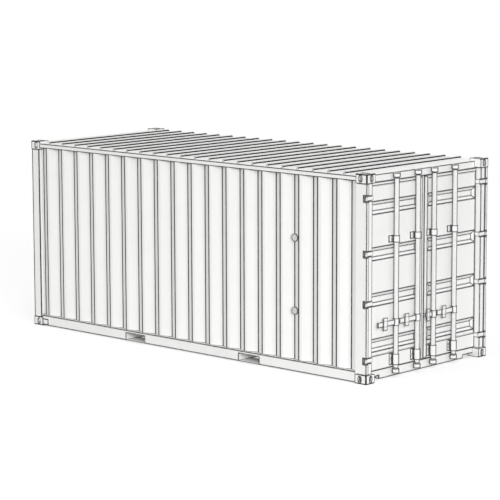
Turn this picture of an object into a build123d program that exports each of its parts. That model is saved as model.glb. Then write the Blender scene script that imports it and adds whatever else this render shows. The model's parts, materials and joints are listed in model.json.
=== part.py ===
from build123d import *
import os

# Envelope of a 20 foot steel freight container: X along it, doors at +X, Z up from its feet
length = 6058
width = 2438
height = 2591
overrun = 10

# Corner castings, with upright oval holes in their side and end faces
casting_length = 178
casting_width = 162
casting_height = 118
casting_wall = 28
casting_inner_wall = 10
casting_edge_radius = 10
aperture_length = 124.5
aperture_width = 63.5
aperture_inset_x = 102.5
aperture_inset_y = 89.5
oval_hole_height = 79.5
oval_hole_width = 51

# Corner posts
post_setback = 8
post_wall = 6
front_post_length = 136
front_post_width = 133
rear_post_width = 121
rear_post_strip = 44
rear_post_step = 11

# Bottom rails, cross members, fork pockets and floor
bottom_rail_setback = 4
bottom_rail_z = 12
bottom_rail_top = 150
bottom_rail_flange = 48
bottom_rail_wall = 4.5
doubler_length = 116
doubler_height = 88
pocket_width = 352
pocket_height = 90
pocket_spacing = 2077
pocket_shift = 37
pocket_wall = 6
pocket_strap = 250
member_height = 122.5
member_flange = 45
member_wall = 4
member_pitch = 330
floor_thickness = 28
floor_side_gap = 8

# Corrugated side and front sheets
sheet = 2
corrugation_depth = 45
side_slope = 98
side_waves = 18
front_slope = 70
front_waves = 8
top_rail_size = 60
top_rail_wall = 4
end_rail_depth = 60

# Roof sheet with pressed cross ribs, its flat parts a little below the castings' tops
roof_drop = 33
rib_count = 22
rib_front_inset = 148
rib_rear_inset = 231
rib_flat = 16
rib_slope = 14
rib_end_slope = 6
rib_height = 30
rib_side_inset = 50

# Door frame: header, sill and the stop that the door gaskets close towards
header_recess = 100
header_height = 99
header_wall = 5
sill_z = 8
sill_top = 128
sill_notch_z = 50
sill_notch_length = 207
stop_thickness = 7
stop_width = 40
stop_top_depth = 61

# Door leaves
door_recess = 96
door_sill_gap = 8
door_head_gap = 8
door_side_gap = 7
door_centre_gap = 16
leaf_depth = 58
leaf_wall = 4
hinge_stile_width = 50
hinge_stile_lip = 14
hinge_stile_gap = 1
centre_stile_width = 74
top_rail_height = 28
bottom_rail_height = 173
panel_step = 4
groove_count = 4
groove_bottom_margin = 133
groove_top_margin = 273
groove_depth = 22
groove_flat = 75
groove_slope = 40
groove_end_slope = 51
groove_margin = 3
gasket_depth = 12
gasket_width = 25
gasket_lip = 11
gasket_lip_depth = 20

# Hinges: pins on the posts, blades on the doors, at shares of the door's height
hinge_shares = [0.0665, 0.3689, 0.6367, 0.9305]
pin_setback_x = 16
pin_setback_y = 15
pin_radius = 8
pin_clearance = 0.4
knuckle_radius = 14
blade_height = 52
blade_thickness = 10
blade_offset = 9
lug_thickness = 12
lug_clearance = 1
hinge_pocket_room = 10
hinge_pocket_length = 44
hinge_slot_gap = 5

# Lock rods with their cams, keepers, guides and handles
rod_recess = 49
rod_radius = 33
rod_wall = 5
outer_rod_share = 0.53327
inner_rod_share = 0.13777
rod_foot_inset = 44
rod_head_inset = 2
rod_clearance = 0.4
cam_radius = 46
cam_height = 58
keeper_gap = 10
keeper_thickness = 10
keeper_depth = 33
saddle_radius = 42
guide_plate_thickness = 8
mid_plate_width = 196
low_plate_width = 164
mid_guide_rise = 113
mid_guide_height = 90
low_guide_rise = 20
low_guide_height = 144
hub_radius = 40
hub_height = 98
handle_z = 697
lever_end_gap = 67
short_lever_gap = 14
lever_height = 70
lever_thickness = 16
plate_share = 0.6254
plate_width = 80
short_plate_width = 60
plate_height = 163
plate_thickness = 8
rest_width = 50
rest_height = 46
rest_gap = 6

# Round door buffers, at a share of the side wall's length from its front post
buffer_place_share = 0.82758
buffer_heights = [785, 1709]
buffer_radius = 50
buffer_proud = 6

# Places that several pieces share
end_x = length / 2
side_y = width / 2
wall_y = side_y - post_setback
post_top = height - casting_height
casting_x = end_x - casting_length
casting_y = side_y - casting_width
front_x = end_x - post_setback
front_post_x = front_x - front_post_length
front_post_y = wall_y - front_post_width
rear_post_y = wall_y - rear_post_width
rail_y = side_y - bottom_rail_setback
roof_z = height - roof_drop
top_rail_z = roof_z - top_rail_size
floor_z = bottom_rail_z + bottom_rail_wall + member_height
floor_top = floor_z + floor_thickness
header_x = end_x - header_recess
header_z = roof_z - header_height
door_x = end_x - door_recess
leaf_x = door_x - leaf_depth
leaf_y = rear_post_y - door_side_gap
leaf_width = leaf_y - door_centre_gap
door_bottom = sill_top + door_sill_gap
door_top = header_z - door_head_gap
panel_x = door_x - panel_step
panel_y_near = door_centre_gap + centre_stile_width
panel_y_far = leaf_y - hinge_stile_lip
panel_bottom = door_bottom + bottom_rail_height
panel_top = door_top - top_rail_height
groove_first = panel_bottom + groove_bottom_margin
groove_pitch = (panel_top - groove_top_margin - groove_first) / (groove_count - 1)
groove_heights = [groove_first + index * groove_pitch for index in range(groove_count)]
hinge_heights = [door_bottom + share * (door_top - door_bottom) for share in hinge_shares]
pin_x = end_x - pin_setback_x
pin_y = side_y - pin_setback_y
rod_x = end_x - rod_recess
rod_outer_y = door_centre_gap + outer_rod_share * leaf_width
rod_inner_y = door_centre_gap + inner_rod_share * leaf_width
rod_bottom = sill_z + rod_foot_inset
rod_top = roof_z - rod_head_inset
lever_length = rod_outer_y - rod_inner_y - lever_end_gap
short_lever_length = rod_inner_y - short_lever_gap
plate_reach = plate_share * lever_length
short_plate_reach = short_lever_length - short_plate_width / 2
mid_guide_z = groove_heights[-2] + mid_guide_rise
low_guide_z = door_bottom + low_guide_rise
hinge_half = blade_height / 2 + lug_clearance + lug_thickness
pocket_tunnel_height = pocket_height + 2 * pocket_wall


def block(x_from, x_to, y_from, y_to, z_from, z_to):
    """A box between two opposite corners."""
    sizes = (x_to - x_from, y_to - y_from, z_to - z_from)
    return Pos(x_from, y_from, z_from) * Box(*sizes, align=(Align.MIN, Align.MIN, Align.MIN))


def tube(x_from, x_to, y_from, y_to, z_from, z_to, wall, along):
    """A rectangular hollow section, open at both ends along one axis."""
    inset = [0 if axis == along else wall for axis in "xyz"]
    outer = block(x_from, x_to, y_from, y_to, z_from, z_to)
    inner = block(
        x_from + inset[0], x_to - inset[0],
        y_from + inset[1], y_to - inset[1],
        z_from + inset[2], z_to - inset[2],
    )
    return outer - inner


def upright(radius, x, y, z_from, z_to):
    """A vertical cylinder between two heights."""
    align = (Align.CENTER, Align.CENTER, Align.MIN)
    return Pos(x, y, z_from) * Cylinder(radius, z_to - z_from, align=align)


def both_sides(pieces):
    """Pieces made on the +Y side, with their mirror images on the -Y side."""
    return list(pieces) + [mirror(piece, about=Plane.XZ) for piece in pieces]


def frustum(low_plane, low_size, high_plane, high_size):
    """A ruled block between two centred rectangles."""
    return loft([low_plane * Rectangle(*low_size), high_plane * Rectangle(*high_size)], ruled=True)


def save(name, pieces):
    """One STEP file for a node, holding the solids of its pieces."""
    solids = [solid for piece in pieces for solid in piece.solids()]
    export_step(Compound(solids), os.path.join("parts", name + ".step"))


def fold_points(start, flat, slope, folds, level, closing_flat):
    """Corners of a folded sheet: distance along it, and 0 in its valleys or 1 on its crests."""
    points = []
    along = start
    for fold in range(folds):
        points.append((along, level))
        points.append((along + flat, level))
        along += flat + slope
        level = 1 - level
    points.append((along, level))
    if closing_flat:
        points.append((along + flat, level))
    return points


def corner_casting():
    """A hollow casting with its outer corner at the origin and its body towards +X, +Y and +Z."""
    oval = Rot(0, 0, 90) * SlotOverall(oval_hole_height, oval_hole_width)
    body = block(0, casting_length, 0, casting_width, 0, casting_height)
    outer_edges = [edge for edge in body.edges() if edge.distance_to(Vertex(0, 0, 0)) < casting_edge_radius]
    body = fillet(outer_edges, casting_edge_radius)
    cavity = block(
        casting_wall, casting_length - casting_inner_wall,
        casting_wall, casting_width - casting_inner_wall,
        casting_wall, casting_height - casting_inner_wall,
    )
    deck_cut = extrude(SlotOverall(aperture_length, aperture_width), casting_wall + overrun)
    side_cut = Rot(90, 0, 0) * extrude(oval, casting_wall + overrun, both=True)
    end_cut = Rot(0, 0, 90) * side_cut
    body -= cavity
    body -= Pos(aperture_inset_x, aperture_inset_y, 0) * deck_cut
    body -= Pos(aperture_inset_x, 0, casting_height / 2) * side_cut
    body -= Pos(0, aperture_inset_y, casting_height / 2) * end_cut
    return body


def castings():
    """The four bottom castings and the four top ones."""
    corner = Pos(-end_x, -side_y, 0) * corner_casting()
    near = [corner, mirror(corner, about=Plane.YZ)]
    bottom = near + [mirror(piece, about=Plane.XZ) for piece in near]
    top = [mirror(piece, about=Plane.XY.offset(height / 2)) for piece in bottom]
    return bottom, top


def front_posts():
    """Hollow posts at the closed end."""
    post = tube(
        -front_x, -front_post_x, front_post_y, wall_y, casting_height, post_top, post_wall, "z"
    )
    return both_sides([post])


def hinge_pocket(z, grow):
    """The room that a hinge needs in its post, grown by a wall for the hollow behind it."""
    low = z - hinge_half - grow
    high = z + hinge_half + grow
    back = pin_x - knuckle_radius - hinge_pocket_room - grow
    side = pin_y - knuckle_radius - hinge_pocket_room - grow
    start = pin_x - hinge_pocket_length - grow
    slot_half = blade_height / 2 + hinge_slot_gap + grow
    rear_room = block(
        back, end_x, rear_post_y - overrun, side_y, z - slot_half, z + slot_half
    )
    side_room = block(start, end_x, side, side_y, low, high)
    return rear_room + side_room


def rear_posts():
    """Hollow stepped posts at the door end, with a pocket for each hinge."""
    step_y = wall_y - rear_post_strip
    inner_x = front_x - rear_post_step
    outline = [
        (casting_x, rear_post_y), (inner_x, rear_post_y), (inner_x, step_y),
        (front_x, step_y), (front_x, wall_y), (casting_x, wall_y),
    ]
    section = make_face(Polyline(*outline, close=True))
    hollow = offset(section, -post_wall, kind=Kind.INTERSECTION)
    span = post_top - casting_height
    post = extrude(Pos(0, 0, casting_height) * section, span, dir=(0, 0, 1))
    core = extrude(Pos(0, 0, casting_height) * hollow, span, dir=(0, 0, 1))
    post -= [hinge_pocket(z, 0) for z in hinge_heights]
    core -= [hinge_pocket(z, post_wall) for z in hinge_heights]
    return both_sides([post - core])


def hinge_lugs():
    """At each hinge a pair of lugs with the pin between them."""
    back = pin_x - knuckle_radius - hinge_pocket_room
    side = pin_y - knuckle_radius - hinge_pocket_room
    pieces = []
    for z in hinge_heights:
        low = z - hinge_half
        high = z + hinge_half
        clevis = upright(pin_radius, pin_x, pin_y, low, high)
        for lug_z in (low, high - lug_thickness):
            clevis += upright(knuckle_radius, pin_x, pin_y, lug_z, lug_z + lug_thickness)
            clevis += block(
                back, pin_x, side, pin_y + knuckle_radius, lug_z, lug_z + lug_thickness
            )
        pieces.append(clevis)
    return both_sides(pieces)


def bottom_side_rails():
    """Channel rails, open inwards and cut for the fork pockets."""
    inner_y = rail_y - bottom_rail_flange
    rail = block(-casting_x, casting_x, inner_y, rail_y, bottom_rail_z, bottom_rail_top)
    rail -= block(
        -casting_x, casting_x, inner_y, rail_y - bottom_rail_wall,
        bottom_rail_z + bottom_rail_wall, bottom_rail_top - bottom_rail_wall,
    )
    for x_from, x_to in pocket_spans():
        rail -= block(
            x_from, x_to, inner_y, rail_y, bottom_rail_z, bottom_rail_z + pocket_tunnel_height
        )
    return both_sides([rail])


def rail_doublers():
    """Small plates on the rails beside the front bottom castings."""
    plate = block(
        -casting_x, -casting_x + doubler_length, rail_y, side_y,
        bottom_rail_z + bottom_rail_wall, bottom_rail_z + bottom_rail_wall + doubler_height,
    )
    return both_sides([plate])


def pocket_spans():
    """Where the outsides of the two fork pockets lie along the container."""
    half = pocket_width / 2 + pocket_wall
    centres = [pocket_shift - pocket_spacing / 2, pocket_shift + pocket_spacing / 2]
    return [(centre - half, centre + half) for centre in centres]


def fork_pockets():
    """Tunnels across the base, open underneath between the straps at their ends."""
    pieces = []
    for x_from, x_to in pocket_spans():
        tunnel = tube(
            x_from, x_to, -rail_y, rail_y,
            bottom_rail_z, bottom_rail_z + pocket_tunnel_height, pocket_wall, "y",
        )
        tunnel -= block(
            x_from + pocket_wall, x_to - pocket_wall, pocket_strap - rail_y, rail_y - pocket_strap,
            bottom_rail_z, bottom_rail_z + pocket_wall,
        )
        pieces.append(tunnel)
    return pieces


def cross_members():
    """Channels that carry the floor between the bottom side rails."""
    low = bottom_rail_z + bottom_rail_wall
    reach = rail_y - bottom_rail_wall
    member = block(0, member_flange, -reach, reach, low, floor_z)
    member -= block(member_wall, member_flange, -reach, reach, low + member_wall, floor_z - member_wall)
    (first_from, first_to), (second_from, second_to) = pocket_spans()
    bays = [(-casting_x, first_from), (first_to, second_from), (second_to, casting_x)]
    pieces = []
    for bay_from, bay_to in bays:
        count = round((bay_to - bay_from) / member_pitch)
        step = (bay_to - bay_from) / count
        for index in range(count):
            centre = bay_from + step * (index + 1 / 2)
            pieces.append(Pos(centre - member_flange / 2, 0, 0) * member)
    return pieces


def floor():
    """The plywood floor, cut round the front posts."""
    end_rail_x = front_x - end_rail_depth
    half_width = wall_y - corrugation_depth - sheet - floor_side_gap
    boards = block(-front_post_x, casting_x, -half_width, half_width, floor_z, floor_top)
    boards += block(
        -end_rail_x, -front_post_x, floor_side_gap - front_post_y, front_post_y - floor_side_gap,
        floor_z, floor_top,
    )
    return boards


def folded_section(points, crest, valley, thickness):
    """Corners of a folded sheet's section, its outer line first and its inner line back."""
    outer = [(along, valley + level * (crest - valley)) for along, level in points]
    inner = [(along, across - thickness) for along, across in reversed(outer)]
    return outer + inner


def side_fold():
    """Fold corners of a side sheet, from the front post to the rear one."""
    folds = 2 * side_waves + 1
    flat = (casting_x + front_post_x) / folds - side_slope
    return fold_points(-front_post_x, flat, side_slope, folds, 0, False)


def side_wall():
    """The corrugated sheet on the +Y side."""
    section = folded_section(side_fold(), wall_y, wall_y - corrugation_depth, sheet)
    face = Pos(0, 0, bottom_rail_top) * make_face(Polyline(*section, close=True))
    wall = extrude(face, top_rail_z - bottom_rail_top, dir=(0, 0, 1))
    return wall - block(-end_x, -casting_x, casting_y, side_y, post_top, height)


def front_wall():
    """The corrugated sheet at the closed end."""
    folds = 2 * front_waves
    flat = (2 * front_post_y - folds * front_slope) / (folds + 1)
    points = fold_points(-front_post_y, flat, front_slope, folds, 1, True)
    section = folded_section(points, front_x, front_x - corrugation_depth, sheet)
    outline = [(-across, along) for along, across in section]
    face = Pos(0, 0, bottom_rail_top) * make_face(Polyline(*outline, close=True))
    wall = extrude(face, top_rail_z - bottom_rail_top, dir=(0, 0, 1))
    corner = block(-end_x, -casting_x, casting_y, side_y, post_top, height)
    return wall - both_sides([corner])


def top_side_rails():
    """Square tubes along the tops of the side walls."""
    rail = tube(
        -casting_x, casting_x, wall_y - top_rail_size, wall_y, top_rail_z, roof_z, top_rail_wall, "x"
    )
    return both_sides([rail])


def front_rail(z_from, z_to):
    """A hollow rail across the closed end."""
    inner_x = front_x - end_rail_depth
    return tube(-front_x, -inner_x, -casting_y, casting_y, z_from, z_to, top_rail_wall, "y")


def roof():
    """The roof sheet with its pressed cross ribs."""
    plate = block(-casting_x, casting_x, -wall_y, wall_y, roof_z, roof_z + sheet)
    plate += block(-front_x, header_x, -casting_y, casting_y, roof_z, roof_z + sheet)
    rib_length = 2 * (wall_y - rib_side_inset)
    rib_first_x = rib_front_inset - casting_x
    rib_pitch = (casting_x - rib_rear_inset - rib_first_x) / (rib_count - 1)
    base = (rib_flat + 2 * rib_slope, rib_length)
    crown = (rib_flat, rib_length - 2 * rib_end_slope)
    inner_base = (base[0] - 2 * sheet, base[1] - 2 * sheet)
    inner_crown = (crown[0] - 2 * sheet, crown[1] - 2 * sheet)
    ribs = []
    hollows = []
    for index in range(rib_count):
        at = Pos(rib_first_x + index * rib_pitch, 0, 0)
        low = Plane.XY.offset(roof_z)
        ribs.append(at * frustum(low.offset(sheet), base, low.offset(sheet + rib_height), crown))
        hollows.append(at * frustum(low, inner_base, low.offset(rib_height), inner_crown))
    return plate + ribs - hollows


def door_header():
    """The hollow beam over the doors."""
    return tube(casting_x, header_x, -casting_y, casting_y, header_z, roof_z, header_wall, "y")


def door_sill():
    """The hollow beam under the doors, cut away below beside the castings."""
    sill_notch_y = casting_y - sill_notch_length
    upper = block(casting_x, header_x, -casting_y, casting_y, sill_notch_z, sill_top)
    lower = block(casting_x, header_x, -sill_notch_y, sill_notch_y, sill_z, sill_top)
    upper_hollow = block(
        casting_x + header_wall, header_x - header_wall, -casting_y, casting_y,
        sill_notch_z + header_wall, sill_top - header_wall,
    )
    lower_hollow = block(
        casting_x + header_wall, header_x - header_wall,
        header_wall - sill_notch_y, sill_notch_y - header_wall,
        sill_z + header_wall, sill_top - header_wall,
    )
    return upper + lower - upper_hollow - lower_hollow


def door_stop():
    """The flat frame behind the doors that their gaskets close towards."""
    inner_y = rear_post_y - stop_width
    ring = block(
        casting_x, casting_x + stop_thickness, -rear_post_y, rear_post_y, sill_top, header_z
    )
    return ring - block(
        casting_x, casting_x + stop_thickness, -inner_y, inner_y, floor_top, header_z - stop_top_depth
    )


def door_buffers():
    """Round buffers seated in the folds of the side sheets."""
    line = folded_section(side_fold(), wall_y, wall_y - corrugation_depth, corrugation_depth)
    inside = extrude(make_face(Polyline(*line, close=True)), height, dir=(0, 0, 1))
    face_y = wall_y + buffer_proud
    buffer_x = buffer_place_share * (casting_x + front_post_x) - front_post_x
    pieces = []
    for z in buffer_heights:
        puck = Rot(90, 0, 0) * Cylinder(
            buffer_radius, corrugation_depth + buffer_proud, align=(Align.CENTER, Align.CENTER, Align.MIN)
        )
        pieces.append(Pos(buffer_x, face_y, z) * puck - inside)
    return both_sides(pieces)


def cam_keepers(z_from):
    """Cheeks on the header or the sill, one beside the cam of each rod."""
    pieces = []
    for rod_y in (-rod_outer_y, -rod_inner_y, rod_inner_y, rod_outer_y):
        near = rod_y + cam_radius + keeper_gap
        pieces.append(block(
            header_x, header_x + keeper_depth, near, near + keeper_thickness,
            z_from, z_from + cam_height,
        ))
    return pieces


def hinge_stile_outline():
    """Corners of the hinge stile's section, with the lip that edges the panel."""
    front = panel_x - sheet - groove_depth - hinge_stile_gap
    return [
        (leaf_x, leaf_y - hinge_stile_width), (front, leaf_y - hinge_stile_width),
        (front, panel_y_far), (door_x, panel_y_far), (door_x, leaf_y), (leaf_x, leaf_y),
    ]


def door_stiles():
    """The centre stile and the hinge stile of the +Y door."""
    centre = tube(
        leaf_x, door_x, door_centre_gap, panel_y_near, door_bottom, door_top, leaf_wall, "z"
    )
    section = make_face(Polyline(*hinge_stile_outline(), close=True))
    section -= offset(section, -leaf_wall, kind=Kind.INTERSECTION)
    hinge = extrude(Pos(0, 0, door_bottom) * section, door_top - door_bottom, dir=(0, 0, 1))
    return [centre, hinge]


def door_rails():
    """The bottom and top rails of the +Y door, coped round the hinge stile."""
    section = make_face(Polyline(*hinge_stile_outline(), close=True))
    stile = extrude(section, height, dir=(0, 0, 1))
    spans = [(door_bottom, panel_bottom), (panel_top, door_top)]
    return [
        tube(leaf_x, door_x, panel_y_near, panel_y_far, z_from, z_to, leaf_wall, "y") - stile
        for z_from, z_to in spans
    ]


def door_panel():
    """The pressed sheet of the +Y door, with its level grooves."""
    panel = block(panel_x - sheet, panel_x, panel_y_near, panel_y_far, panel_bottom, panel_top)
    span = panel_y_far - panel_y_near - 2 * groove_margin
    mouth = (span, groove_flat + 2 * groove_slope)
    bed = (span - 2 * groove_end_slope, groove_flat)
    back_mouth = (mouth[0] + 2 * sheet, mouth[1] + 2 * sheet)
    back_bed = (bed[0] + 2 * sheet, bed[1] + 2 * sheet)
    pans = []
    cuts = []
    for z in groove_heights:
        at = Pos(panel_x, (panel_y_near + panel_y_far) / 2, z)
        face = Plane.YZ
        pans.append(at * frustum(
            face.offset(-sheet - groove_depth), back_bed, face.offset(-sheet), back_mouth
        ))
        cuts.append(at * frustum(face.offset(-groove_depth), bed, face, mouth))
    return panel + pans - cuts


def door_gasket():
    """The rubber ring behind the +Y leaf and the lip along its free edge."""
    ring = tube(
        leaf_x - gasket_depth, leaf_x, door_centre_gap, leaf_y, door_bottom, door_top,
        gasket_width, "x",
    )
    lip_x = (leaf_x + door_x) / 2
    lip = block(
        lip_x, lip_x + gasket_lip_depth, door_centre_gap - gasket_lip, door_centre_gap,
        door_bottom, door_top,
    )
    return [ring, lip]


def hinge_blades():
    """Cranked blades that carry the +Y door on its pins."""
    front = pin_x - blade_offset
    pieces = []
    for z in hinge_heights:
        low = z - blade_height / 2
        high = z + blade_height / 2
        blade = upright(knuckle_radius, pin_x, pin_y, low, high)
        blade += block(front - blade_thickness, front, panel_y_far, pin_y, low, high)
        blade += block(door_x, front, panel_y_far, leaf_y, low, high)
        pieces.append(blade - upright(pin_radius + pin_clearance, pin_x, pin_y, low, high))
    return pieces


def rod_guides():
    """Plates on the +Y door, with bored saddles that carry its two rods."""
    plate_front = door_x + guide_plate_thickness
    spans = [
        (panel_x, mid_plate_width, mid_guide_z, mid_guide_z + mid_guide_height),
        (door_x, low_plate_width, low_guide_z, low_guide_z + low_guide_height),
    ]
    pieces = []
    for rod_y in (rod_inner_y, rod_outer_y):
        for seat_x, base_width, z_from, z_to in spans:
            guide = block(
                seat_x, plate_front, rod_y - base_width / 2, rod_y + base_width / 2, z_from, z_to
            )
            guide += block(
                seat_x, rod_x, rod_y - saddle_radius, rod_y + saddle_radius, z_from, z_to
            )
            guide += upright(saddle_radius, rod_x, rod_y, z_from, z_to)
            guide -= upright(rod_radius + rod_clearance, rod_x, rod_y, z_from, z_to)
            stile = block(leaf_x, door_x, door_centre_gap, panel_y_near, z_from, z_to)
            pieces.append(guide - stile)
    return pieces


def lock_rod(rod_y):
    """A tube from sill to header with a cam at each end."""
    rod = upright(rod_radius, rod_x, rod_y, rod_bottom, rod_top)
    for z in (rod_bottom, rod_top - cam_height):
        rod += upright(cam_radius, rod_x, rod_y, z, z + cam_height)
    return rod - upright(rod_radius - rod_wall, rod_x, rod_y, rod_bottom, rod_top)


def handle(rod_y, reach, plate_at, plate_span):
    """A hub round the rod, its lever towards -Y and the catch plate on the lever's face."""
    lever_x = rod_x - lever_thickness / 2
    hub_z = handle_z - hub_height / 2
    bore = upright(rod_radius + rod_clearance, rod_x, rod_y, hub_z, hub_z + hub_height)
    grip = upright(hub_radius, rod_x, rod_y, hub_z, hub_z + hub_height)
    grip += block(
        lever_x, lever_x + lever_thickness, rod_y - reach, rod_y,
        handle_z - lever_height / 2, handle_z + lever_height / 2,
    )
    grip += block(
        lever_x + lever_thickness, lever_x + lever_thickness + plate_thickness,
        rod_y - plate_at - plate_span / 2, rod_y - plate_at + plate_span / 2,
        handle_z - plate_height / 2, handle_z + plate_height / 2,
    )
    return grip - bore


def handle_rest(seat_x, y):
    """A block on the door behind a lever's catch plate."""
    front = rod_x - lever_thickness / 2 - rest_gap
    return block(
        seat_x, front, y - rest_width / 2, y + rest_width / 2,
        handle_z - rest_height / 2, handle_z + rest_height / 2,
    )


os.makedirs("parts", exist_ok=True)

bottom_castings, top_castings = castings()
save("bottom_corner_castings", bottom_castings)
save("top_corner_castings", top_castings)
save("front_corner_posts", front_posts())
save("rear_corner_posts", rear_posts())
save("hinge_lugs", hinge_lugs())
save("bottom_side_rails", bottom_side_rails())
save("rail_doublers", rail_doublers())
save("fork_pockets", fork_pockets())
save("cross_members", cross_members())
save("floor_boards", [floor()])
left_wall, right_wall = reversed(both_sides([side_wall()]))
save("left_side_wall", [left_wall])
save("right_side_wall", [right_wall])
save("front_wall", [front_wall()])
save("top_side_rails", top_side_rails())
save("front_bottom_rail", [front_rail(bottom_rail_z, bottom_rail_top)])
save("front_top_rail", [front_rail(top_rail_z, roof_z)])
save("roof_sheet", [roof()])
save("door_header", [door_header()])
save("door_sill", [door_sill()])
save("door_stop_frame", [door_stop()])
save("door_buffers", door_buffers())
save("top_cam_keepers", cam_keepers(rod_top - cam_height))
save("bottom_cam_keepers", cam_keepers(rod_bottom))

leaf_pieces = {
    "stiles": door_stiles(),
    "rails": door_rails(),
    "panel": [door_panel()],
    "gasket": door_gasket(),
    "hinge_blades": hinge_blades(),
    "rod_guides": rod_guides(),
}
for piece_name, pieces in leaf_pieces.items():
    save("right_door_" + piece_name, pieces)
    save("left_door_" + piece_name, [mirror(piece, about=Plane.XZ) for piece in pieces])

rods = {
    "left_outer": (-rod_outer_y, lever_length, plate_reach, plate_width),
    "left_inner": (-rod_inner_y, lever_length, plate_reach, plate_width),
    "right_inner": (rod_inner_y, short_lever_length, short_plate_reach, short_plate_width),
    "right_outer": (rod_outer_y, lever_length, plate_reach, plate_width),
}
for rod_name, (rod_y, reach, plate_at, plate_span) in rods.items():
    save(rod_name + "_rod", [lock_rod(rod_y)])
    save(rod_name + "_handle", [handle(rod_y, reach, plate_at, plate_span)])

save("left_door_handle_rests", [
    handle_rest(panel_x, -rod_outer_y - plate_reach),
    handle_rest(panel_x, -rod_inner_y - plate_reach),
])
save("right_door_handle_rests", [
    handle_rest(door_x, rod_inner_y - short_plate_reach),
    handle_rest(panel_x, rod_outer_y - plate_reach),
])
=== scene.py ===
"""Looks of a white steel freight container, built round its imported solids.

The photograph is a line drawing, so the paints carry thin dark lines along the folds and edges.
Lengths are in metres.
"""
import json
import math

import bmesh
import bpy
from mathutils import Matrix, Vector


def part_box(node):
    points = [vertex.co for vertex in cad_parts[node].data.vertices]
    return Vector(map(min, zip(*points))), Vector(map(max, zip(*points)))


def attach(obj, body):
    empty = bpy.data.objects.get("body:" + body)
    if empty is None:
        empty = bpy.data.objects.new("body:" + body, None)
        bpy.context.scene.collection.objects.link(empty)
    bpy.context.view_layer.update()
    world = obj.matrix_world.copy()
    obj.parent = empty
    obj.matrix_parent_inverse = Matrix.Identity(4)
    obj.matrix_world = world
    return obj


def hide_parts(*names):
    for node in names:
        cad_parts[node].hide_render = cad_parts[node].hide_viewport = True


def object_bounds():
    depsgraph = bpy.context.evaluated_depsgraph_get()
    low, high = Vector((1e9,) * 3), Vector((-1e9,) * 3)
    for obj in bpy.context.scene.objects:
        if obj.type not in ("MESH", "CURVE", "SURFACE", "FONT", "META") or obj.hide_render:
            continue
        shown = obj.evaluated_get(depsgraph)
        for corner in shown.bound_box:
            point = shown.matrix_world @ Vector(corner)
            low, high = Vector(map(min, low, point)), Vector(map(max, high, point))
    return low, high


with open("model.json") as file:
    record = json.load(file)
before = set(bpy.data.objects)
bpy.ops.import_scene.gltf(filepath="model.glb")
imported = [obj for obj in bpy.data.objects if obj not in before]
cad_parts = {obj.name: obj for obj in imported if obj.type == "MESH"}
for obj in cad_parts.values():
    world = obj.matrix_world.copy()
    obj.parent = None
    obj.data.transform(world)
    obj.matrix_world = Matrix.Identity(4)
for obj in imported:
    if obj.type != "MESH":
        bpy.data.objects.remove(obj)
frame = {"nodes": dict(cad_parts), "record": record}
cad_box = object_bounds()
nodes = frame["nodes"]
scene = bpy.context.scene
scene.view_settings.view_transform = "Standard"

# The two sides with their directions along Y, and the lock rods
SIDES = {"left": -1, "right": 1}
RODS = ["left_outer", "left_inner", "right_inner", "right_outer"]

# How vertices are grouped by place: decimals that are kept, and a level's tolerance
PLACES = 4
TOLERANCE = 0.001

# Camera of the drawing, in degrees, metres and pixels of its 500 by 500 frame
FRAME_PIXELS = 500
CAMERA_AZIMUTH = 42.759
CAMERA_ELEVATION = 8.634
CAMERA_ROLL = -0.175
CAMERA_TARGET = Vector((0, 0, 1.2955))
CAMERA_DISTANCE = 29.536
CLIP_NEAR = 1
CLIP_FAR = 2000
FOCAL_PIXELS = 2196.6
CENTRE_PIXEL = (251.16, 244.56)
SENSOR = 36

# Studio: lamps as direction from the middle, distance, size and watts, then the sky and the floor
LAMPS = {
    "key_box": ((0.82, -0.55, 0.22), 34, 12, 6800),
    "fill_box": ((-0.60, -0.75, 0.28), 30, 14, 1300),
    "top_box": ((0.05, -0.05, 1.0), 12, 9, 170),
    "back_box": ((-0.55, 0.80, 0.14), 30, 14, 1900),
}
PURE_WHITE = (1, 1, 1, 1)
SKY_LIGHT = 0.70
FLOOR_GREY = (0.48, 0.48, 0.48, 1)
FLOOR_LIFT = 0.56
FLOOR_FADE = (7, 13)
FLOOR_RADIUS = 400
FLOOR_SIDES = 96
FLOOR_DROP = 0.0005

# Colours
WHITE = (0.86, 0.86, 0.85)
GEAR_WHITE = (0.84, 0.84, 0.835)
STEEL_GREY = (0.20, 0.20, 0.20)
LINE_BLACK = (0.012, 0.012, 0.013)
RUBBER_GREY = (0.60, 0.60, 0.59)
SEAL_WHITE = (0.74, 0.74, 0.73)
PLY_LIGHT = (0.40, 0.25, 0.13)
PLY_DARK = (0.22, 0.12, 0.06)

# In all the materials a noise is scale, detail and stretch, limits are what a mask is eased between,
# followed where needed by the values it takes there, and a bump is strength and height
MIDDLE_LIMITS = (0.3, 0.7)

# Paint
BROAD_NOISE = (0.8, 3)
BROAD_SHARE = 0.975
STREAK_NOISE = (1.0, 4, (7, 7, 0.35))
STREAK_LIMITS = (0.50, 0.74)
STREAK_TINT = (0.42, 0.40, 0.36)
STREAK_STRENGTH = 0.05
FILM_NOISE = (5.0, 6)
FILM_LIMITS = (0.42, 0.80)
FILM_TINT = (0.30, 0.29, 0.27)
FILM_STRENGTH = 0.03
WEAR_NOISE = (26.0, 4)
WEAR_LIMITS = (0.22, 0.52, 0.88, 1)
GLOSS_NOISE = (3.0, 5)
PAINT_ROUGHNESS = (0.40, 0.56)
PAINT_SHEEN = 0.35
ROOF_ROUGHNESS = (0.58, 0.74)
ROOF_SHEEN = 0.10
PEEL_NOISE = (420.0, 2)
PEEL_BUMP = (0.05, 0.0006)
WAVE_NOISE = (1.7, 2)
WAVE_BUMP = (0.16, 0.006)

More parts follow.
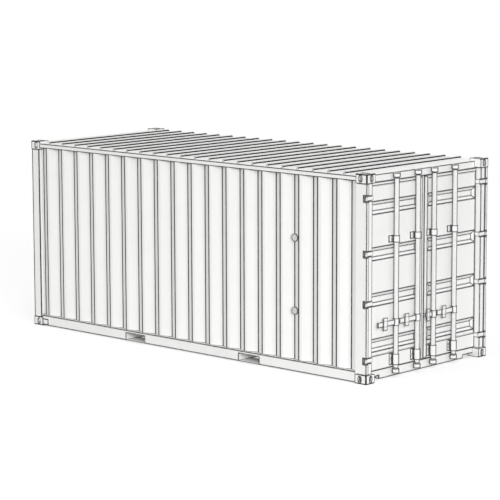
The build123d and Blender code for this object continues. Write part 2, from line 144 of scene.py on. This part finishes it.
# Painted shade in corners, gaps and recesses: how far they are looked for, and how dark the paint is
# painted in them
HOLLOW_REACH = 0.10
HOLLOW_SAMPLES = 8
HOLLOW_LIMITS = (0.50, 0.10)
HOLLOW_SHADE_TINT = (0.05, 0.05, 0.05)
# Strengths of that painted shade on each kind of piece
NO_HOLLOW_SHADE = 0.0
DOOR_HOLLOW_SHADE = 0.06
FRAME_HOLLOW_SHADE = 0.10
GEAR_HOLLOW_SHADE = 0.15
STILE_HOLLOW_SHADE = 0.20
POST_HOLLOW_SHADE = 0.60

# Bare steel, rubber and floor plywood
STEEL_NOISE = (30.0, 4, (1, 1, 12))
STEEL_SHARE = 0.72
STEEL_LINE_STRENGTH = 0.8
STEEL_METALLIC = 0.35
STEEL_LIMITS = (0.2, 0.8)
STEEL_ROUGHNESS = (0.34, 0.55)
STEEL_BUMP = (0.12, 0.0008)
DUST_NOISE = (9.0, 5)
DUST_LIMITS = (0.45, 0.8)
DUST_SHARE = 0.75
DUST_STRENGTH = 0.25
RUBBER_NOISE = (14.0, 3)
RUBBER_ROUGHNESS = (0.66, 0.86)
RUBBER_GRAIN_NOISE = (260.0, 3)
RUBBER_BUMP = (0.25, 0.0006)
GRAIN_NOISE = (6.0, 8, (0.5, 9, 4))
FIGURE_NOISE = (1.2, 4, (0.35, 3, 1))
FIGURE_LIMITS = (0.4, 0.7)
FIGURE_STRENGTH = 0.4
SCUFF_NOISE = (2.4, 6, (0.4, 2.5, 1))
SCUFF_LIMITS = (0.58, 0.75)
SCUFF_TINT = (0.50, 0.42, 0.32)
SCUFF_STRENGTH = 0.3
BOARD_LENGTH = 2.4
BOARD_WIDTH = 1.16
JOINT_HALF = 0.003
JOINT_TINT = (0.05, 0.03, 0.02)
JOINT_STRENGTH = 0.85
SCREW_PITCH = 0.305
SCREW_RADIUS = 0.008
SCREW_SOFTNESS = 0.001
SCREW_TINT = (0.25, 0.25, 0.25)
SCREW_STRENGTH = 0.8
PLY_ROUGHNESS = (0.45, 0.7)
PLY_DENT = 2
PLY_BUMP = (0.2, 0.001)

# Lines on edges: radii that edges are taken as rounded to, and limits for the cosine of the angle
# between the rounded normal and the true one, where a line starts and where it is full
EDGE_SAMPLES = 8
EDGE_LIMITS = (0.9996, 0.9970)
GEAR_EDGE_LIMITS = (0.998, 0.987)
BUFFER_EDGE_LIMITS = (0.990, 0.965)
FACING_LIMITS = (0.6, 0.8)
STEEL_EDGE = 0.004
FINE_EDGE = 0.010
ROOF_EDGE = 0.012
CORNER_EDGE = 0.015
POST_EDGE = 0.017
FRAME_EDGE = 0.018
PANEL_EDGE = 0.021
BUFFER_EDGE = 0.022
DOOR_EDGE = 0.024
ROOF_EDGE_STRENGTH = 0.8

# Lines at known places: their widths
LINE_SOFTNESS = 0.0015
FOLD_LINE_FLAT = 0.014
FOLD_LINE_SLOPE = 0.011
FOOT_LINE = 0.010
RIB_LINE_TOP = 0.004
RIB_LINE_FOOT = 0.022
RAIL_TOP_LINE = 0.011
RAIL_FOOT_LINE = 0.010
DOOR_RAIL_LINE = 0.009
CASTING_LINE = 0.016
POST_LINE = 0.017
POST_SEAM = 0.016
PLATE_LINE = 0.015

# Lines down the rods: direction across them as the drawing sees it, share of the radius where
# they start, how far from the rod's axis they reach, and how far behind it they fade
ROD_LINE_SIDE = (0.785, 0.619)
ROD_LINE_SHARE = 0.75
ROD_SHARE_SOFTNESS = 0.02
ROD_LINE_REACH = 0.052
ROD_REACH_SOFTNESS = 0.001
ROD_LINE_BACK = 0.003

# Small modelled pieces; a stud's ring is its height, its radius, and whether it is a hexagon
STUD_SIDES = 12
BOLT_RINGS = [
    (-0.001, 0.0125, False), (0.002, 0.0125, False), (0.002, 0.0095, True),
    (0.0065, 0.0095, True), (0.008, 0.0070, False),
]
RIVET_RINGS = [
    (-0.001, 0.010, False), (0.002, 0.010, False), (0.0042, 0.0075, False), (0.0055, 0.0035, False),
]
BOLT_EDGE_GAP = 0.024
RIVET_EDGE_GAP = 0.022
SADDLE_REACH = 0.042
SADDLE_MARGIN = 0.005
GUIDE_REACH = 0.12
WELD_SIZE = 0.004
WELD_SECTION_SHARES = [(-0.3, 0.0), (1.0, 0.0), (0.62, 0.62), (-0.3, 1.0)]
SEAL_WIDTH = 0.025
SEAL_SECTION_SHARES = [
    (0.0, 0.0), (0.0, 0.35), (0.08, 0.92), (0.20, 1.0), (0.30, 0.72), (0.36, 0.42), (0.64, 0.42),
    (0.70, 0.72), (0.80, 1.0), (0.92, 0.92), (1.0, 0.35), (1.0, 0.0),
]
LIP_DEPTH = 0.020
LIP_SECTION_SHARES = [(0.0, 0.0), (0.0, 1.0), (0.62, 0.92), (1.0, 0.68), (1.0, 0.32), (0.62, 0.08)]


def middle(node):
    """The centre of a node's box."""
    low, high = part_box(node)
    return (Vector(low) + Vector(high)) / 2


class Nodes:
    """Short calls that build a node tree."""

    def __init__(self, tree):
        self.tree = tree

    def add(self, kind, inputs=None, **settings):
        """A node with its settings, and its inputs set or linked."""
        node = self.tree.nodes.new(kind)
        for key, value in settings.items():
            setattr(node, key, value)
        for key, value in (inputs or {}).items():
            self.feed(node.inputs[key], value)
        return node

    def feed(self, socket, value):
        """Sets an input, or links it where the value is another node's output."""
        if isinstance(value, bpy.types.NodeSocket):
            self.tree.links.new(value, socket)
        else:
            socket.default_value = value

    def math(self, operation, *values):
        """One math node over its values."""
        node = self.add("ShaderNodeMath", operation=operation)
        for socket, value in zip(node.inputs, values):
            self.feed(socket, value)
        return node.outputs[0]

    def chain(self, operation, first, *others):
        """One math operation over any number of values."""
        for other in others:
            first = self.math(operation, first, other)
        return first

    def any_of(self, *masks):
        """A mask that is 1 where one of the masks is."""
        return self.chain("MAXIMUM", *masks)

    def all_of(self, *masks):
        """The product of masks and strengths."""
        return self.chain("MULTIPLY", *masks)

    def outside(self, mask):
        """A mask that is 1 where the given one is 0."""
        return self.math("SUBTRACT", 1, mask)

    def length(self, first, second):
        """The length of a vector in a plane."""
        squares = (self.math("MULTIPLY", value, value) for value in (first, second))
        return self.math("SQRT", self.chain("ADD", *squares))

    def ramp(self, value, low, high, to_low=0, to_high=1):
        """A value eased from one range to another and held at its ends."""
        return self.add("ShaderNodeMapRange", {
            "Value": value, "From Min": low, "From Max": high, "To Min": to_low, "To Max": to_high,
        }, interpolation_type="SMOOTHSTEP").outputs["Result"]

    def seen(self):
        """1 for the camera, reflections and glass, and 0 for rays that only light things."""
        path = self.add("ShaderNodeLightPath").outputs
        return self.any_of(*(path[f"Is {kind} Ray"] for kind in ("Camera", "Glossy", "Transmission")))


class Material(Nodes):
    """A material, its shader, and masks over the object's surface."""

    def __init__(self, name):
        self.data = bpy.data.materials.new(name)
        self.data.use_nodes = True
        super().__init__(self.data.node_tree)
        self.shader = self.tree.nodes["Principled BSDF"]
        self.place = self.add("ShaderNodeTexCoord").outputs["Object"]

    def set(self, **inputs):
        """Sets or links the shader's inputs, with _ for the spaces in their names."""
        for name, value in inputs.items():
            self.feed(self.shader.inputs[name.replace("_", " ")], value)

    def noise(self, scale, detail, stretch=(1, 1, 1)):
        """Noise between 0 and 1, stretched along the object's axes."""
        place = self.add("ShaderNodeMapping", {"Vector": self.place, "Scale": stretch}).outputs[0]
        return self.add(
            "ShaderNodeTexNoise", {"Vector": place, "Scale": scale, "Detail": detail}
        ).outputs["Fac"]

    def mix(self, factor, first, second):
        """Two colours mixed by a factor."""
        node = self.add("ShaderNodeMix", data_type="RGBA")
        self.feed(node.inputs[0], factor)
        for socket, value in ((node.inputs[6], first), (node.inputs[7], second)):
            self.feed(socket, (*value, 1) if isinstance(value, tuple) else value)
        return node.outputs[2]

    def bump(self, height, strength, distance, normal=None):
        """A bumped normal from a height."""
        inputs = {"Height": height, "Strength": strength, "Distance": distance}
        if normal is not None:
            inputs["Normal"] = normal
        return self.add("ShaderNodeBump", inputs).outputs["Normal"]

    def axis(self, name):
        """One coordinate of the object's place."""
        return self.add("ShaderNodeSeparateXYZ", {0: self.place}).outputs[name]

    def from_middle(self, name):
        """The distance along an axis from the object's middle plane."""
        return self.math("ABSOLUTE", self.axis(name))

    def above(self, value, bound):
        """A mask that is 1 where a value lies above a bound."""
        return self.ramp(value, bound - LINE_SOFTNESS, bound + LINE_SOFTNESS)

    def below(self, value, bound):
        """A mask that is 1 where a value lies below a bound."""
        return self.ramp(value, bound + LINE_SOFTNESS, bound - LINE_SOFTNESS)

    def band(self, value, low, high):
        """A mask that is 1 where a value lies between two bounds."""
        return self.all_of(self.above(value, low), self.below(value, high))

    def normal(self):
        """The surface's own normal."""
        return self.add("ShaderNodeNewGeometry").outputs["Normal"]

    def edges(self, radius, limits=EDGE_LIMITS):
        """A mask that is 1 on a piece's edges, from the normal that a rounded edge would have."""
        rounded = self.add("ShaderNodeBevel", {"Radius": radius}, samples=EDGE_SAMPLES).outputs["Normal"]
        same = self.add("ShaderNodeVectorMath", {0: rounded, 1: self.normal()}, operation="DOT_PRODUCT")
        return self.ramp(self.math("ABSOLUTE", same.outputs["Value"]), *limits)

    def facing(self, axis):
        """A mask that is 1 on faces that look along an axis, either way."""
        share = self.add("ShaderNodeSeparateXYZ", {0: self.normal()}).outputs[axis]
        return self.ramp(self.math("ABSOLUTE", share), *FACING_LIMITS)

    def hollow_shade(self):
        """A mask for painted shade, from ambient occlusion: 1 deep in corners, gaps and recesses."""
        sky = self.add("ShaderNodeAmbientOcclusion", {"Distance": HOLLOW_REACH}, samples=HOLLOW_SAMPLES)
        return self.ramp(sky.outputs["AO"], *HOLLOW_LIMITS)


def shaded(colour, share):
    """A colour darkened to a share of itself."""
    return tuple(share * part for part in colour)


def paint(name, lines, hollow_shade_share, colour=WHITE, roughness=PAINT_ROUGHNESS, sheen=PAINT_SHEEN):
    """Satin paint on steel: faint weathering, painted shade in corners and gaps, orange peel, and dark
    lines where a mask draws them.
    """
    m = Material(name)
    shade = m.mix(m.noise(*BROAD_NOISE), shaded(colour, BROAD_SHARE), colour)
    streaks = m.ramp(m.noise(*STREAK_NOISE), *STREAK_LIMITS)
    shade = m.mix(m.all_of(streaks, STREAK_STRENGTH), shade, STREAK_TINT)
    film = m.ramp(m.noise(*FILM_NOISE), *FILM_LIMITS)
    shade = m.mix(m.all_of(film, FILM_STRENGTH), shade, FILM_TINT)
    # Painted shade: the paint is darkened towards a near-black tint deep in corners, gaps and recesses
    shade = m.mix(m.all_of(m.hollow_shade(), hollow_shade_share), shade, HOLLOW_SHADE_TINT)
    if lines:
        worn = m.ramp(m.noise(*WEAR_NOISE), *WEAR_LIMITS)
        shade = m.mix(m.all_of(lines(m), worn), shade, LINE_BLACK)
    peel = m.bump(m.noise(*PEEL_NOISE), *PEEL_BUMP)
    m.set(
        Base_Color=shade, Roughness=m.ramp(m.noise(*GLOSS_NOISE), *MIDDLE_LIMITS, *roughness),
        Specular_IOR_Level=sheen, Normal=m.bump(m.noise(*WAVE_NOISE), *WAVE_BUMP, peel),
    )
    return m.data


def edge_lines(radius):
    """Lines along all the edges of a piece."""
    return lambda m: m.edges(radius)


def fold_lines(node, axis):
    """Lines on both edges of every second slope of a folded sheet, and along its foot."""
    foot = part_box(node)[0][2]
    corners = sorted({
        round(v.co["XYZ".index(axis)], PLACES)
        for v in nodes[node].data.vertices if v.co.z < foot + TOLERANCE
    })
    start = corners[0]
    period = corners[4] - start
    slope_low, slope_high = corners[1] - start, corners[2] - start
    last = corners[-1] - FOLD_LINE_SLOPE - FOLD_LINE_FLAT

    def lines(m):
        place = m.axis(axis)
        along = m.math("FLOORED_MODULO", m.math("SUBTRACT", place, start), period)
        low_line = m.band(along, slope_low - FOLD_LINE_FLAT, slope_low + FOLD_LINE_SLOPE)
        high_line = m.band(along, slope_high - FOLD_LINE_SLOPE, slope_high + FOLD_LINE_FLAT)
        foot_line = m.below(m.axis("Z"), foot + FOOT_LINE)
        return m.any_of(low_line, m.all_of(high_line, m.below(place, last)), foot_line)

    return lines


def roof_lines(m):
    """Lines along the flanks of the roof ribs and, fainter, round their ends and the level sheet."""
    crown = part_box("roof_sheet")[1][2]
    flank = m.facing("X")
    line = m.all_of(m.band(m.axis("Z"), crown - RIB_LINE_FOOT, crown - RIB_LINE_TOP), flank)
    rest = m.all_of(m.edges(ROOF_EDGE), m.outside(flank), ROOF_EDGE_STRENGTH)
    return m.any_of(line, rest)


def top_rail_lines(m):
    """Lines along the upper and lower edges of the top side rails."""
    (_, _, low), (_, _, high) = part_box("top_side_rails")
    height = m.axis("Z")
    return m.any_of(m.above(height, high - RAIL_TOP_LINE), m.below(height, low + RAIL_FOOT_LINE))


def front_post_lines(m):
    """Lines along the front posts' edges, the container's outer corners too."""
    low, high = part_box("front_corner_posts")
    end = m.all_of(m.below(m.axis("X"), low[0] + POST_LINE), m.facing("Y"))
    side = m.all_of(m.above(m.from_middle("Y"), high[1] - POST_LINE), m.facing("X"))
    return m.any_of(end, side, m.edges(CORNER_EDGE))


def plate_lines(m):
    """Lines round the outer faces of the plates on the bottom rails."""
    low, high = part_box("rail_doublers")
    rims = [
        m.all_of(m.outside(m.band(m.axis(axis), low[i] + PLATE_LINE, high[i] - PLATE_LINE)), m.facing("Y"))
        for i, axis in ((0, "X"), (2, "Z"))
    ]
    return m.any_of(m.edges(FINE_EDGE), *rims)


def rear_post_lines(m):
    """Lines along the rear posts' edges, but not where they meet the side walls."""
    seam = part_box("rear_corner_posts")[0][0] + POST_SEAM
    return m.all_of(m.edges(POST_EDGE), m.above(m.axis("X"), seam))


def casting_lines(m):
    """Lines along the castings' edges, the rounded ones at the container's corners too."""
    low, high = cad_box
    half_height = (high[2] - low[2]) / 2
    from_half = m.math("ABSOLUTE", m.math("SUBTRACT", m.axis("Z"), low[2] + half_height))
    near = [
        m.above(place, reach - CASTING_LINE) for place, reach in (
            (m.from_middle("X"), high[0]), (m.from_middle("Y"), high[1]), (from_half, half_height),
        )
    ]
    corners = [m.all_of(near[i], near[j]) for i, j in ((0, 1), (1, 2), (2, 0))]
    return m.any_of(m.edges(CORNER_EDGE), *corners)


def door_rail_lines(m):
    """Lines along the door rails' edges that border the panel."""
    (_, _, low), (_, _, high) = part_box("left_door_panel")
    height = m.axis("Z")
    return m.any_of(m.band(height, low - DOOR_RAIL_LINE, low), m.band(height, high, high + DOOR_RAIL_LINE))


def gear_lines(m):
    """Lines along the gear's edges, and down both sides of each rod and of what is round it."""
    masks = [m.all_of(m.edges(DOOR_EDGE, GEAR_EDGE_LIMITS), m.outside(m.facing("Z")))]
    side_x, side_y = ROD_LINE_SIDE
    share_limits = (ROD_LINE_SHARE - ROD_SHARE_SOFTNESS, ROD_LINE_SHARE + ROD_SHARE_SOFTNESS)
    reach_limits = (ROD_LINE_REACH + ROD_REACH_SOFTNESS, ROD_LINE_REACH - ROD_REACH_SOFTNESS)
    for rod in RODS:
        centre = middle(rod + "_rod")
        x = m.math("SUBTRACT", m.axis("X"), centre.x)
        y = m.math("SUBTRACT", m.axis("Y"), centre.y)
        reach = m.length(x, y)
        across = m.math("ADD", m.math("MULTIPLY", x, side_x), m.math("MULTIPLY", y, side_y))
        ahead = m.math("SUBTRACT", m.math("MULTIPLY", x, side_y), m.math("MULTIPLY", y, side_x))
        share = m.math("DIVIDE", m.math("ABSOLUTE", across), reach)
        masks.append(m.all_of(
            m.ramp(share, *share_limits), m.ramp(ahead, -ROD_LINE_BACK, 0), m.ramp(reach, *reach_limits),
        ))
    return m.any_of(*masks)


def steel(name, colour):
    """Bare worn steel of the hinge pins and lugs."""
    m = Material(name)
    brushed = m.noise(*STEEL_NOISE)
    shade = m.mix(brushed, shaded(colour, STEEL_SHARE), colour)
    m.set(
        Base_Color=m.mix(m.all_of(m.edges(STEEL_EDGE), STEEL_LINE_STRENGTH), shade, LINE_BLACK),
        Metallic=STEEL_METALLIC, Roughness=m.ramp(brushed, *STEEL_LIMITS, *STEEL_ROUGHNESS),
        Normal=m.bump(brushed, *STEEL_BUMP),
    )
    return m.data


def rubber(name, colour, rimmed):
    """Matt rubber with a fine grain and a dusty bloom, and with a dark rim if it is drawn so."""
    m = Material(name)
    dust = m.ramp(m.noise(*DUST_NOISE), *DUST_LIMITS)
    shade = m.mix(m.all_of(dust, DUST_STRENGTH), colour, shaded(colour, DUST_SHARE))
    if rimmed:
        shade = m.mix(m.edges(BUFFER_EDGE, BUFFER_EDGE_LIMITS), shade, LINE_BLACK)
    m.set(
        Base_Color=shade, Roughness=m.ramp(m.noise(*RUBBER_NOISE), *MIDDLE_LIMITS, *RUBBER_ROUGHNESS),
        Normal=m.bump(m.noise(*RUBBER_GRAIN_NOISE), *RUBBER_BUMP),
    )
    return m.data


def plywood(name):
    """Sealed floor plywood with long grain, board joints, screws and scuffs."""
    m = Material(name)
    grain = m.noise(*GRAIN_NOISE)
    shade = m.mix(m.ramp(grain, *MIDDLE_LIMITS), PLY_DARK, PLY_LIGHT)
    figure = m.ramp(m.noise(*FIGURE_NOISE), *FIGURE_LIMITS)
    shade = m.mix(m.all_of(figure, FIGURE_STRENGTH), shade, PLY_DARK)
    scuff = m.ramp(m.noise(*SCUFF_NOISE), *SCUFF_LIMITS)
    shade = m.mix(m.all_of(scuff, SCUFF_STRENGTH), shade, SCUFF_TINT)
    x, y = m.axis("X"), m.axis("Y")
    joint = m.any_of(*(
        m.band(m.math("PINGPONG", place, size / 2), -JOINT_HALF, JOINT_HALF)
        for place, size in ((x, BOARD_LENGTH), (y, BOARD_WIDTH))
    ))
    from_row = m.math("PINGPONG", m.math("ADD", x, SCREW_PITCH / 2), SCREW_PITCH)
    from_line = m.math("PINGPONG", m.math("ADD", y, SCREW_PITCH / 2), SCREW_PITCH / 2)
    screw = m.ramp(m.length(from_row, from_line), SCREW_RADIUS + SCREW_SOFTNESS, SCREW_RADIUS)
    shade = m.mix(m.all_of(joint, JOINT_STRENGTH), shade, JOINT_TINT)
    shade = m.mix(m.all_of(screw, SCREW_STRENGTH), shade, SCREW_TINT)
    dents = m.math("SUBTRACT", grain, m.all_of(m.any_of(joint, screw), PLY_DENT))
    m.set(
        Base_Color=shade, Roughness=m.ramp(grain, *MIDDLE_LIMITS, *PLY_ROUGHNESS),
        Normal=m.bump(dents, *PLY_BUMP),
    )
    return m.data


def floor_paint(name):
    """The pale studio floor: it shows white with the object's soft shadow, and lights nothing itself."""
    m = Material(name)
    m.tree.nodes.remove(m.shader)
    seen = m.seen()
    distance = m.add("ShaderNodeVectorMath", {0: m.place}, operation="LENGTH").outputs["Value"]
    diffuse = m.add("ShaderNodeBsdfDiffuse", {"Color": FLOOR_GREY}).outputs[0]
    lift, white = (
        m.add("ShaderNodeEmission", {"Color": PURE_WHITE, "Strength": strength}).outputs[0]
        for strength in (m.all_of(seen, FLOOR_LIFT), seen)
    )
    near = m.add("ShaderNodeAddShader", {0: diffuse, 1: lift}).outputs[0]
    mixed = m.add("ShaderNodeMixShader", {0: m.ramp(distance, *FLOOR_FADE), 1: near, 2: white}).outputs[0]
    m.feed(m.tree.nodes["Material Output"].inputs["Surface"], mixed)
    return m.data


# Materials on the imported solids
side_paint = paint("white_paint_sides", fold_lines("left_side_wall", "X"), FRAME_HOLLOW_SHADE)
end_paint = paint("white_paint_end", fold_lines("front_wall", "Y"), FRAME_HOLLOW_SHADE)
roof_paint = paint(
    "white_paint_roof", roof_lines, FRAME_HOLLOW_SHADE, roughness=ROOF_ROUGHNESS, sheen=ROOF_SHEEN
)
panel_paint = paint("white_paint_panel", edge_lines(PANEL_EDGE), DOOR_HOLLOW_SHADE)
frame_paint = paint("white_paint_frame", edge_lines(FRAME_EDGE), FRAME_HOLLOW_SHADE)
fine_paint = paint("white_paint_fine", edge_lines(FINE_EDGE), FRAME_HOLLOW_SHADE)
pocket_paint = paint("white_paint_pockets", edge_lines(FINE_EDGE), NO_HOLLOW_SHADE)
plate_paint = paint("white_paint_plates", plate_lines, NO_HOLLOW_SHADE)
front_post_paint = paint("white_paint_front_posts", front_post_lines, FRAME_HOLLOW_SHADE)
door_rail_paint = paint("white_paint_door_rails", door_rail_lines, DOOR_HOLLOW_SHADE)
stile_paint = paint("white_paint_stiles", edge_lines(DOOR_EDGE), STILE_HOLLOW_SHADE)
plain_paint = paint("white_paint_plain", None, DOOR_HOLLOW_SHADE)
post_paint = paint("white_paint_posts", rear_post_lines, POST_HOLLOW_SHADE)
top_rail_paint = paint("white_paint_rails", top_rail_lines, DOOR_HOLLOW_SHADE)
casting_paint = paint(
    "white_paint_casting", casting_lines, NO_HOLLOW_SHADE, roughness=ROOF_ROUGHNESS, sheen=ROOF_SHEEN
)
gear_paint = paint("white_paint_gear", gear_lines, GEAR_HOLLOW_SHADE, GEAR_WHITE)
bolt_paint = paint("white_paint_bolts", None, GEAR_HOLLOW_SHADE, GEAR_WHITE)
hinge_steel = steel("hinge_steel", STEEL_GREY)
seal_rubber = rubber("seal_rubber", SEAL_WHITE, rimmed=False)
buffer_rubber = rubber("buffer_rubber", RUBBER_GREY, rimmed=True)
floor_ply = plywood("floor_plywood")

SLOT_MATERIALS = {
    "white_paint": frame_paint, "lock_gear": gear_paint, "hinge_steel": hinge_steel,
    "floor_plywood": floor_ply, "seal_rubber": seal_rubber,
}
NODE_MATERIALS = {
    "front_wall": end_paint, "roof_sheet": roof_paint, "door_buffers": buffer_rubber,
    "bottom_corner_castings": casting_paint, "top_corner_castings": casting_paint,
    "front_corner_posts": front_post_paint, "rear_corner_posts": post_paint,
    "top_side_rails": top_rail_paint, "rail_doublers": plate_paint, "fork_pockets": pocket_paint,
}
for side in SIDES:
    NODE_MATERIALS.update({
        side + "_side_wall": side_paint, side + "_door_panel": panel_paint,
        side + "_door_rails": door_rail_paint, side + "_door_stiles": stile_paint,
        side + "_door_hinge_blades": fine_paint,
    })
for part in frame["record"]["subparts"]:
    materials = nodes[part["node"]].data.materials
    materials.clear()
    materials.append(NODE_MATERIALS.get(part["node"], SLOT_MATERIALS[part["material_slot"]]))


def bridge(shape, rings, closed=False):
    """Faces from ring to ring of vertices, capped at the ends unless the run closes on itself."""
    loops = [[shape.verts.new(point) for point in ring] for ring in rings]
    pairs = list(zip(loops, loops[1:])) + ([(loops[-1], loops[0])] if closed else [])
    for near, far in pairs:
        for i in range(len(near)):
            j = (i + 1) % len(near)
            shape.faces.new((near[i], near[j], far[j], far[i]))
    if not closed:
        shape.faces.new(list(reversed(loops[0])))
        shape.faces.new(loops[-1])


def stud(shape, seat, rings):
    """A bolt or rivet head that faces +X, turned from its rings."""
    flat_share = math.cos(math.pi / 6)
    outlines = []
    for rise, radius, hexagon in rings:
        outline = []
        for i in range(STUD_SIDES):
            angle = 2 * math.pi * i / STUD_SIDES
            reach = radius * flat_share if hexagon and i % 2 else radius
            outline.append(Vector(seat) + Vector((rise, reach * math.cos(angle), reach * math.sin(angle))))
        outlines.append(outline)
    bridge(shape, outlines)


def add_piece(name, build, body, material):
    """A piece whose mesh a function builds, riding on a body."""
    shape = bmesh.new()
    build(shape)
    bmesh.ops.recalc_face_normals(shape, faces=shape.faces)
    mesh = bpy.data.meshes.new(name)
    shape.to_mesh(mesh)
    shape.free()
    mesh.materials.append(material)
    made = bpy.data.objects.new(name, mesh)
    scene.collection.objects.link(made)
    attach(made, body)
    return made


def guide_bolts(side):
    """Bolts through both flanges of each rod guide on a door."""
    def build(shape):
        corners = [v.co for v in nodes[side + "_door_rod_guides"].data.vertices]
        for rod in (name for name in RODS if name.startswith(side)):
            rod_y = middle(rod + "_rod").y
            near = [c for c in corners if abs(c.y - rod_y) < GUIDE_REACH]
            flanges = [c for c in near if abs(c.y - rod_y) > SADDLE_REACH + SADDLE_MARGIN]
            levels = sorted({round(c.z, PLACES) for c in near})
            for low, high in zip(levels[::2], levels[1::2]):
                flange = [c for c in flanges if low - TOLERANCE < c.z < high + TOLERANCE]
                reach = (max(abs(c.y - rod_y) for c in flange) + SADDLE_REACH) / 2
                seat_x = max(c.x for c in flange)
                for y in (rod_y - reach, rod_y + reach):
                    for z in (low + BOLT_EDGE_GAP, high - BOLT_EDGE_GAP):
                        stud(shape, (seat_x, y, z), BOLT_RINGS)
    add_piece(side + "_door_guide_bolts", build, side + "_door", bolt_paint)


def catch_rivets(rod):
    """Two rivets through the catch plate of a handle."""
    def build(shape):
        low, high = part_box(rod + "_handle")
        plate = [v.co for v in nodes[rod + "_handle"].data.vertices if v.co.z > high[2] - TOLERANCE]
        seat_x = max(c.x for c in plate)
        y = (min(c.y for c in plate) + max(c.y for c in plate)) / 2
        for z in (low[2] + RIVET_EDGE_GAP, high[2] - RIVET_EDGE_GAP):
            stud(shape, (seat_x, y, z), RIVET_RINGS)
    add_piece(rod + "_catch_rivets", build, rod + "_lock_rod", bolt_paint)


def foot_weld(side, outward):
    """The weld along the foot of a side wall, which follows the folds."""
    def build(shape):
        node = side + "_side_wall"
        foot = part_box(node)[0][2]
        outer = {}
        for corner in (v.co for v in nodes[node].data.vertices if v.co.z < foot + TOLERANCE):
            key = round(corner.x, PLACES)
            if key not in outer or abs(corner.y) > abs(outer[key].y):
                outer[key] = corner.copy()
        line = [outer[key] for key in sorted(outer)]
        runs = [(end - start).normalized() for start, end in zip(line, line[1:])]
        rings = []
        for i, point in enumerate(line):
            beside = runs[max(i - 1, 0):i + 1]
            tangent = sum(beside, Vector()).normalized()
            out = Vector((tangent.y, -tangent.x, 0)) * -outward / tangent.dot(beside[0])
            rings.append([
                point + out * WELD_SIZE * across + Vector((0, 0, WELD_SIZE * rise))
                for across, rise in WELD_SECTION_SHARES
            ])
        bridge(shape, rings)
    add_piece(side + "_wall_foot_weld", build, "frame", plain_paint)


def door_seal(side, outward):
    """The rubber seal round the back of a door, and the lip along its free edge."""
    def build(shape):
        seal_low, seal_high = (Vector(c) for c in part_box(side + "_door_gasket"))
        leaf_low, leaf_high = (Vector(c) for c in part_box(side + "_door_stiles"))
        depth = leaf_low.x - seal_low.x
        centre = (leaf_low + leaf_high) / 2
        ends = ((leaf_low, leaf_low), (leaf_high, leaf_low), (leaf_high, leaf_high), (leaf_low, leaf_high))
        rings = []
        for y, z in ((y_end.y, z_end.z) for y_end, z_end in ends):
            in_y, in_z = math.copysign(SEAL_WIDTH, centre.y - y), math.copysign(SEAL_WIDTH, centre.z - z)
            rings.append([
                Vector((leaf_low.x - depth * deep, y + in_y * across, z + in_z * across))
                for across, deep in SEAL_SECTION_SHARES
            ])
        bridge(shape, rings, closed=True)
        free_y, tip_y = (leaf_low.y, seal_low.y) if outward > 0 else (leaf_high.y, seal_high.y)
        bridge(shape, [
            [
                Vector((seal_high.x - LIP_DEPTH + LIP_DEPTH * deep, free_y + (tip_y - free_y) * across, z))
                for across, deep in LIP_SECTION_SHARES
            ]
            for z in (leaf_low.z, leaf_high.z)
        ])
    seal = add_piece(side + "_door_seal", build, side + "_door", seal_rubber)
    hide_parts(side + "_door_gasket")


for side, outward in SIDES.items():
    guide_bolts(side)
    foot_weld(side, outward)
    door_seal(side, outward)
for rod in RODS:
    catch_rivets(rod)

# Studio floor, sky, lamps and camera
bpy.ops.mesh.primitive_circle_add(
    vertices=FLOOR_SIDES, radius=FLOOR_RADIUS, fill_type="NGON", location=(0, 0, -FLOOR_DROP)
)
ground = bpy.context.object
ground.name = "studio_floor"
ground.data.materials.append(floor_paint("studio_floor"))

scene.world = bpy.data.worlds.new("studio")
scene.world.use_nodes = True
sky = Nodes(scene.world.node_tree)
background = sky.tree.nodes["Background"]
background.inputs["Color"].default_value = PURE_WHITE
sky.feed(background.inputs["Strength"], sky.ramp(sky.seen(), 0, 1, SKY_LIGHT, 1))

for name, (towards, distance, size, watts) in LAMPS.items():
    soft_box = bpy.data.lights.new(name, "AREA")
    soft_box.size = size
    soft_box.energy = watts
    lamp = bpy.data.objects.new(name, soft_box)
    direction = Vector(towards).normalized()
    lamp.location = CAMERA_TARGET + direction * distance
    lamp.rotation_mode = "QUATERNION"
    lamp.rotation_quaternion = direction.to_track_quat("Z", "Y")
    scene.collection.objects.link(lamp)

azimuth, elevation, roll = (math.radians(a) for a in (CAMERA_AZIMUTH, CAMERA_ELEVATION, CAMERA_ROLL))
back = Vector((
    math.sin(azimuth) * math.cos(elevation), -math.cos(azimuth) * math.cos(elevation), math.sin(elevation)
))
level_right = Vector((math.cos(azimuth), math.sin(azimuth), 0))
level_up = back.cross(level_right)
right = level_right * math.cos(roll) + level_up * math.sin(roll)
up = level_up * math.cos(roll) - level_right * math.sin(roll)
camera_data = bpy.data.cameras.new("camera")
camera_data.sensor_width = SENSOR
camera_data.lens = FOCAL_PIXELS / FRAME_PIXELS * SENSOR
camera_data.shift_x = (FRAME_PIXELS / 2 - CENTRE_PIXEL[0]) / FRAME_PIXELS
camera_data.shift_y = (CENTRE_PIXEL[1] - FRAME_PIXELS / 2) / FRAME_PIXELS
camera_data.clip_start = CLIP_NEAR
camera_data.clip_end = CLIP_FAR
camera = bpy.data.objects.new("camera", camera_data)
scene.collection.objects.link(camera)
turn = Matrix((right, up, back)).transposed().to_4x4()
camera.matrix_world = Matrix.Translation(CAMERA_TARGET + back * CAMERA_DISTANCE) @ turn
scene.camera = camera
